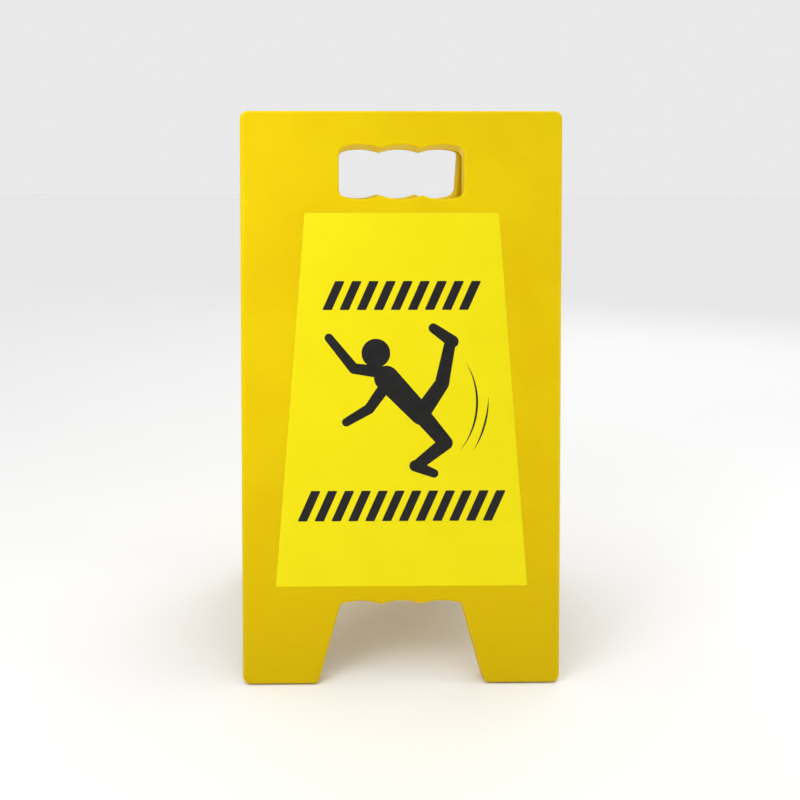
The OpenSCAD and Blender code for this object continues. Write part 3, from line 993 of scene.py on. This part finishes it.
def make_track(side):
    """An angle bracket bent from strip, with the slot in its standing web."""
    web = TRACK_X + TRACK_T
    bend, inner, edge = TRACK_BEND_R, TRACK_INNER_BEND, TRACK_EDGE_R
    outside = arc((web - bend, FLANGE_Y + bend), bend, -math.pi / 2, 0, 8)
    section = [Vector((web - FLANGE_W, FLANGE_Y))] + outside + [
        Vector((web, FLANGE_Y + bend)),
        Vector((web, TRACK_LIP_Y - edge)), Vector((web - edge, TRACK_LIP_Y)),
        Vector((TRACK_X + edge, TRACK_LIP_Y)), Vector((TRACK_X, TRACK_LIP_Y - edge)),
        Vector((TRACK_X, FLANGE_Y + FLANGE_T + inner)),
        Vector((TRACK_X - inner, FLANGE_Y + FLANGE_T)),
        Vector((web - FLANGE_W, FLANGE_Y + FLANGE_T)),
    ]
    bm = bmesh.new()
    extrusion(bm, [section], "z", TRACK_FOOT, TRACK_TOP, edge)
    track = make_object("track", bm)
    slot = arc((0, SLOT_TOP), SLOT_R, 0, math.pi, 20) + [Vector((-SLOT_R, SLOT_TOP))]
    slot += arc((0, -TRAVEL_SHUT), SLOT_R, math.pi, math.tau, 20) + [Vector((SLOT_R, -TRAVEL_SHUT))]
    cut = bmesh.new()
    extrusion(cut, [slot], "x", TRACK_X - OVERRUN, web + OVERRUN)
    depths = FLANGE_Y - OVERRUN, FLANGE_Y + FLANGE_T + OVERRUN
    screw_holes = [post(SCREW_X, z, SCREW_R + BORE_CLEAR, *depths) for z in SCREW_ROWS]
    combine(track, "DIFFERENCE", [cut] + screw_holes)
    sided_piece("stay_track", side, track, leaf_place(False), "front", ZINC)


def make_screws(side):
    """Two pan-head screws with a cross recess."""
    bm = bmesh.new()
    under = FLANGE_Y + FLANGE_T
    tip = FLANGE_Y - SCREW_L + SCREW_TIP_GAP
    profile = [(tip, 0), (tip, SCREW_R - SCREW_CHAMFER), (tip + SCREW_CHAMFER, SCREW_R)]
    profile += [(under, SCREW_R)] + domed(under, SCREW_HEAD_R, SCREW_HEAD_T)
    slots = []
    for z in SCREW_ROWS:
        drawn = set(bm.verts)
        lathe(bm, profile, 36)
        place = Matrix.Translation((SCREW_X, 0, z)) @ Matrix.Rotation(math.pi / 2, 4, "Z")
        fresh = [v for v in bm.verts if v not in drawn]
        bmesh.ops.transform(bm, matrix=place, verts=fresh)
        for half_w, half_h in ((DRIVE_L / 2, DRIVE_W / 2), (DRIVE_W / 2, DRIVE_L / 2)):
            cut = bmesh.new()
            loop = box_loop((SCREW_X, z), half_w, half_h, DRIVE_CORNER_R)
            top = under + SCREW_HEAD_T
            extrusion(cut, [loop], "y", top - DRIVE_DEPTH, top + OVERRUN)
            slots.append(cut)
    screws = make_object("screws", bm)
    combine(screws, "DIFFERENCE", slots)
    sided_piece("track_screws", side, screws, leaf_place(False), "front", ZINC)


def make_pad(side, rear):
    """A rubber pad, most of it sunk in the foot."""
    word = "rear" if rear else "front"
    name = f"foot_pad_{word}_{'right' if side > 0 else 'left'}"
    pad = make_object(f"{name}_part", pad_solid(side, 0, EDGE_R))
    mirror = Matrix.Scale(-1, 4, (0, 1, 0)) if rear else Matrix.Identity(4)
    finish_piece(pad, Matrix.Scale(M_PER_MM, 4) @ mirror, word, RUBBER, [name])


for rear in (False, True):
    make_leaf(rear)
    make_label(rear)
    make_print(rear)
    for side in (-1, 1):
        make_pad(side, rear)
for side in (-1, 1):
    make_hinge(side)
    make_stay(side)
    make_pivot(side)
    make_track(side)
    make_screws(side)


# ---------------------------------------------------------------- studio

def make_floor():
    """A wide pale floor."""
    bm = bmesh.new()
    rings = [[bm.verts.new((p.x, p.y, 0)) for p in circle((0, 0), radius, 96)]
             for radius in FLOOR_RINGS]
    bridge(bm, rings)
    bm.faces.new(rings[0])
    studio = make_object("studio_floor", bm)
    studio.data.materials.append(studio_floor())


def make_sky():
    """Soft light, bright overhead and dim towards the horizon, in front of a plain backdrop."""
    world = bpy.data.worlds.new("sky")
    world.use_nodes = True
    tree = world.node_tree
    place = tree.nodes.new("ShaderNodeTexCoord")
    split = tree.nodes.new("ShaderNodeSeparateXYZ")
    rise = tree.nodes.new("ShaderNodeMath")
    rise.operation = "POWER"
    rise.inputs[1].default_value = SKY_RISE
    spread = tree.nodes.new("ShaderNodeMapRange")
    spread.inputs["To Min"].default_value = SKY_AT_HORIZON
    spread.inputs["To Max"].default_value = SKY_OVERHEAD
    ray = tree.nodes.new("ShaderNodeLightPath")
    seen = tree.nodes.new("ShaderNodeMix")
    seen.inputs["B"].default_value = BACKDROP
    background = tree.nodes["Background"]
    background.inputs["Color"].default_value = (1, 1, 1, 1)
    for source, target in (
        (place.outputs["Generated"], split.inputs[0]),
        (split.outputs["Z"], rise.inputs[0]),
        (rise.outputs[0], spread.inputs["Value"]),
        (spread.outputs[0], seen.inputs["A"]),
        (ray.outputs["Is Camera Ray"], seen.inputs["Factor"]),
        (seen.outputs["Result"], background.inputs["Strength"]),
    ):
        tree.links.new(source, target)
    bpy.context.scene.world = world


def add_lamp(name, place, target, size, power):
    """A soft square lamp aimed at a point."""
    data = bpy.data.lights.new(name, "AREA")
    data.size = size
    data.energy = power
    lamp = bpy.data.objects.new(name, data)
    lamp.location = place
    lamp.visible_camera = False
    lamp.rotation_euler = (Vector(target) - Vector(place)).to_track_quat("-Z", "Y").to_euler()
    bpy.context.scene.collection.objects.link(lamp)


def make_camera():
    """The camera, level across and pitched down, where the view of the front is right."""
    data = bpy.data.cameras.new("camera")
    data.lens = CAMERA_LENS
    data.shift_x, data.shift_y = CAMERA_SHIFT
    camera = bpy.data.objects.new("camera", data)
    camera.location = CAMERA_AT
    camera.rotation_euler = (math.pi / 2 - CAMERA_PITCH, 0, CAMERA_YAW)
    bpy.context.scene.collection.objects.link(camera)
    bpy.context.scene.camera = camera


make_camera()
make_floor()
make_sky()
for lamp_values in LAMPS:
    add_lamp(*lamp_values)
bpy.context.scene.view_settings.view_transform = "Standard"
